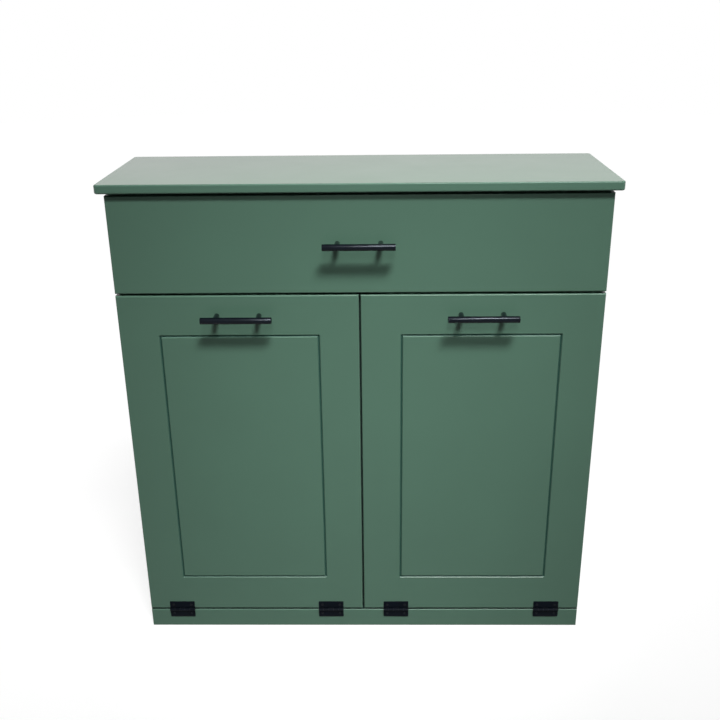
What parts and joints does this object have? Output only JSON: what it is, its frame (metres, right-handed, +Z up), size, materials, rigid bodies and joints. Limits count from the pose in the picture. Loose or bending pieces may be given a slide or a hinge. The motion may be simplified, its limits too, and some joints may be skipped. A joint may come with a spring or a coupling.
{
  "type": "tilt-out trash cabinet",
  "caption": "Free-standing kitchen cabinet whose doors tip outward on bottom hinges to present waste bins, under a full-width drawer.",
  "frame": {"origin": "on the floor under the middle of the bounding box", "axes": "+X to the right of someone facing the doors, +Y to the back, +Z up"},
  "size_m": [0.904, 0.325, 0.914],
  "materials": {
    "cabinet_paint": "satin green paint on board",
    "case_paint": "satin green paint on board, inside",
    "pull_black": "satin black coating",
    "hinge_black": "matte black coating",
    "birch_ply": "clear-coated birch plywood",
    "zinc_steel": "bright zinc plating",
    "catch_plastic": "brown moulded plastic",
    "lever_plastic": "black moulded plastic"
  },
  "bodies": {
    "case": {"top_slab": "cabinet_paint", "left_side_panel": "case_paint", "right_side_panel": "case_paint", "center_divider": "case_paint", "bottom_panel": "case_paint", "back_panel": "case_paint", "base_rail": "cabinet_paint", "drawer_rail_front": "case_paint", "drawer_rail_rear": "case_paint", "top_rail_front": "case_paint", "top_rail_rear": "case_paint", "stop_cleats": "birch_ply", "magnetic_catches": "catch_plastic", "left_hinge_rail_leaves": "hinge_black", "right_hinge_rail_leaves": "hinge_black", "hinge_pins": "hinge_black", "hinge_rail_screws": "hinge_black", "left_slide_case_member": "zinc_steel", "right_slide_case_member": "zinc_steel", "slide_case_screws": "zinc_steel", "top_slab_screws": "zinc_steel"},
    "drawer": {"drawer_front": "cabinet_paint", "drawer_box_front": "birch_ply", "drawer_box_back": "birch_ply", "drawer_left_side": "birch_ply", "drawer_right_side": "birch_ply", "drawer_bottom": "birch_ply", "drawer_pull_bar": "pull_black", "drawer_pull_posts": "pull_black", "left_slide_drawer_member": "zinc_steel", "right_slide_drawer_member": "zinc_steel", "drawer_screws": "zinc_steel"},
    "left_slide_middle": {"left_slide_middle_member": "zinc_steel"},
    "left_outer_cage": {"left_outer_ball_cage": "zinc_steel"},
    "left_inner_cage": {"left_inner_ball_cage": "zinc_steel"},
    "left_lever": {"left_release_lever": "lever_plastic"},
    "left_door": {"left_door_panel": "cabinet_paint", "left_door_pull_bar": "pull_black", "left_door_pull_posts": "pull_black", "left_hinge_door_leaves": "hinge_black", "left_door_screws": "hinge_black", "left_carrier_floor": "birch_ply", "left_carrier_arms": "birch_ply", "left_carrier_back_rail": "birch_ply", "left_strike_plate": "zinc_steel"},
    "right_slide_middle": {"right_slide_middle_member": "zinc_steel"},
    "right_outer_cage": {"right_outer_ball_cage": "zinc_steel"},
    "right_inner_cage": {"right_inner_ball_cage": "zinc_steel"},
    "right_lever": {"right_release_lever": "lever_plastic"},
    "right_door": {"right_door_panel": "cabinet_paint", "right_door_pull_bar": "pull_black", "right_door_pull_posts": "pull_black", "right_hinge_door_leaves": "hinge_black", "right_door_screws": "hinge_black", "right_carrier_floor": "birch_ply", "right_carrier_arms": "birch_ply", "right_carrier_back_rail": "birch_ply", "right_strike_plate": "zinc_steel"}
  },
  "joints": [
    {"name": "drawer_slide", "type": "slide", "parent": "case", "child": "drawer", "axis": [0, -1, 0], "range_m": [0, 0.25]},
    {"name": "left_slide_middle_slide", "type": "slide", "parent": "case", "child": "left_slide_middle", "axis": [0, -1, 0], "range_m": [0, 0.125]},
    {"name": "left_outer_cage_slide", "type": "slide", "parent": "case", "child": "left_outer_cage", "axis": [0, -1, 0], "range_m": [0, 0.0625]},
    {"name": "left_inner_cage_slide", "type": "slide", "parent": "case", "child": "left_inner_cage", "axis": [0, -1, 0], "range_m": [0, 0.1875]},
    {"name": "left_door_tilt", "type": "hinge", "parent": "case", "child": "left_door", "pos_m": [-0.21975, -0.13025, 0.0415], "axis": [1, 0, 0], "range_deg": [0, 30]},
    {"name": "left_lever_press", "type": "hinge", "parent": "drawer", "child": "left_lever", "pos_m": [-0.4069, -0.0355, 0.79], "axis": [1, 0, 0], "range_deg": [-6, 6], "stiffness_Nm_per_rad": 0.01},
    {"name": "right_slide_middle_slide", "type": "slide", "parent": "case", "child": "right_slide_middle", "axis": [0, -1, 0], "range_m": [0, 0.125]},
    {"name": "right_outer_cage_slide", "type": "slide", "parent": "case", "child": "right_outer_cage", "axis": [0, -1, 0], "range_m": [0, 0.0625]},
    {"name": "right_inner_cage_slide", "type": "slide", "parent": "case", "child": "right_inner_cage", "axis": [0, -1, 0], "range_m": [0, 0.1875]},
    {"name": "right_door_tilt", "type": "hinge", "parent": "case", "child": "right_door", "pos_m": [0.21975, -0.13025, 0.0415], "axis": [1, 0, 0], "range_deg": [0, 30]},
    {"name": "right_lever_press", "type": "hinge", "parent": "drawer", "child": "right_lever", "pos_m": [0.4069, -0.0355, 0.79], "axis": [1, 0, 0], "range_deg": [-6, 6], "stiffness_Nm_per_rad": 0.01}
  ],
  "couplings": [
    {"joint": "left_slide_middle_slide", "follows": "drawer_slide", "ratio": 0.5},
    {"joint": "left_outer_cage_slide", "follows": "drawer_slide", "ratio": 0.25},
    {"joint": "left_inner_cage_slide", "follows": "drawer_slide", "ratio": 0.75},
    {"joint": "right_slide_middle_slide", "follows": "drawer_slide", "ratio": 0.5},
    {"joint": "right_outer_cage_slide", "follows": "drawer_slide", "ratio": 0.25},
    {"joint": "right_inner_cage_slide", "follows": "drawer_slide", "ratio": 0.75}
  ]
}
